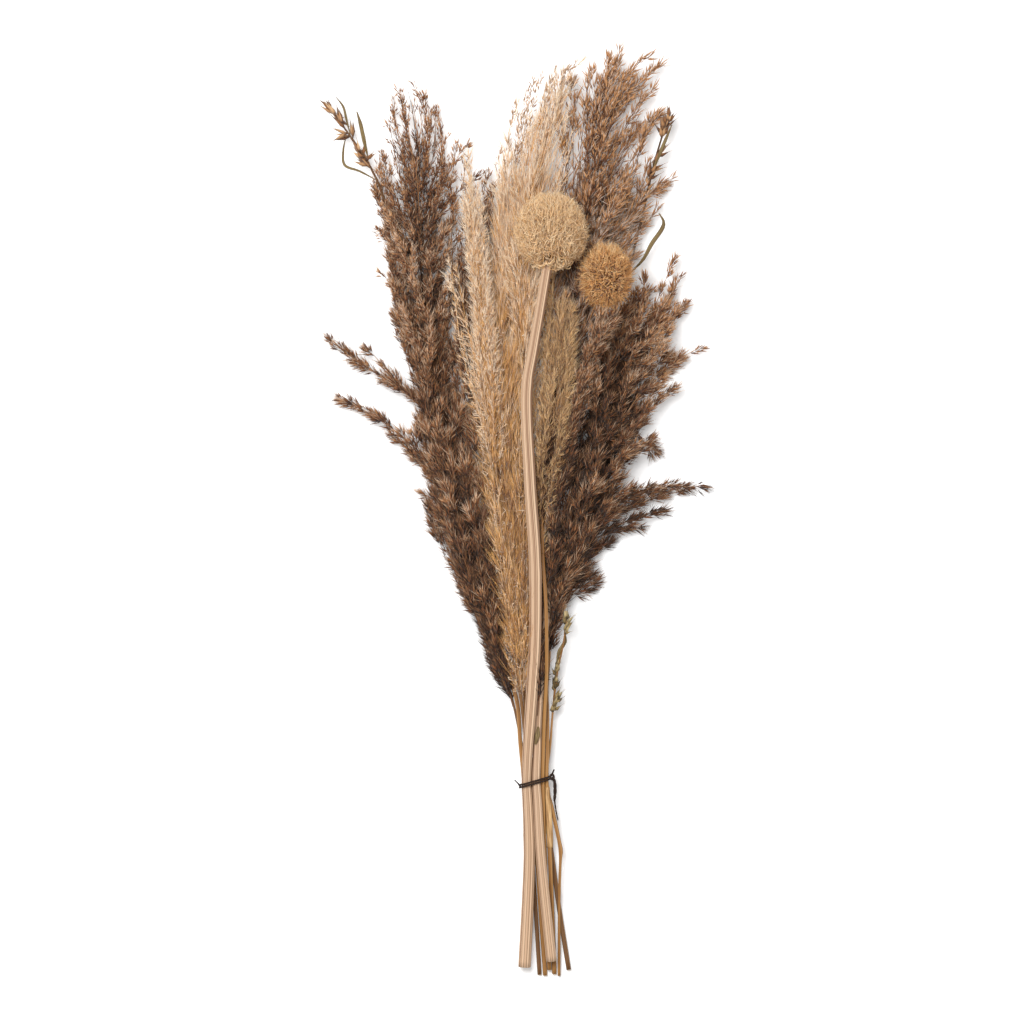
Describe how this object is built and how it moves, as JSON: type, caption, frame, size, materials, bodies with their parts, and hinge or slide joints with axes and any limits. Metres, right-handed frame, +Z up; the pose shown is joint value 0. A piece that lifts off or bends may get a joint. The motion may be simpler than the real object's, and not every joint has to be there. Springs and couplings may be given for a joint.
{
  "type": "dried grass bundle",
  "caption": "Tied bundle of dried plume grasses with round bristly seed heads and thin oat-like sprays, lying on its side, as a table or shelf decoration.",
  "frame": {"origin": "on the surface that the bundle lies on, below the middle of its box", "axes": "+Y from the cut ends towards the plumes' tips, +Z up from the surface, +X to the right as seen from above with the tips away"},
  "size_m": [0.3108, 0.7508, 0.1043],
  "materials": {
    "reed_plume": "dry, matt and feathery",
    "pampas_plume": "dry, silky and feathery",
    "golden_plume": "dry, silky and feathery",
    "large_head": "dry, matt and curly",
    "small_head": "dry, matt and bristly",
    "ridged_stem": "dry straw, ridged, faintly glossy",
    "thin_stem": "dry straw, smooth, faintly glossy",
    "oat_spray": "dry, papery",
    "tie": "dark, matt, slightly frayed"
  },
  "bodies": {
    "root": {"reed_plume_left": "reed_plume", "reed_plume_upper": "reed_plume", "reed_plume_lower": "reed_plume", "pampas_plume_centre": "pampas_plume", "pampas_plume_top": "pampas_plume", "pampas_plume_left": "pampas_plume", "pampas_plume_right": "golden_plume", "seed_head_large": "large_head", "seed_head_small": "small_head", "ridged_stem_large": "ridged_stem", "ridged_stem_small": "ridged_stem", "stem_reed_left": "thin_stem", "stem_reed_upper": "thin_stem", "stem_reed_lower": "thin_stem", "stem_pampas_centre": "thin_stem", "stem_pampas_top": "thin_stem", "stem_pampas_left": "thin_stem", "stem_pampas_right": "thin_stem", "oat_spray_left": "oat_spray", "oat_spray_right": "oat_spray", "oat_spray_low": "oat_spray", "tie": "tie"}
  },
  "joints": []
}
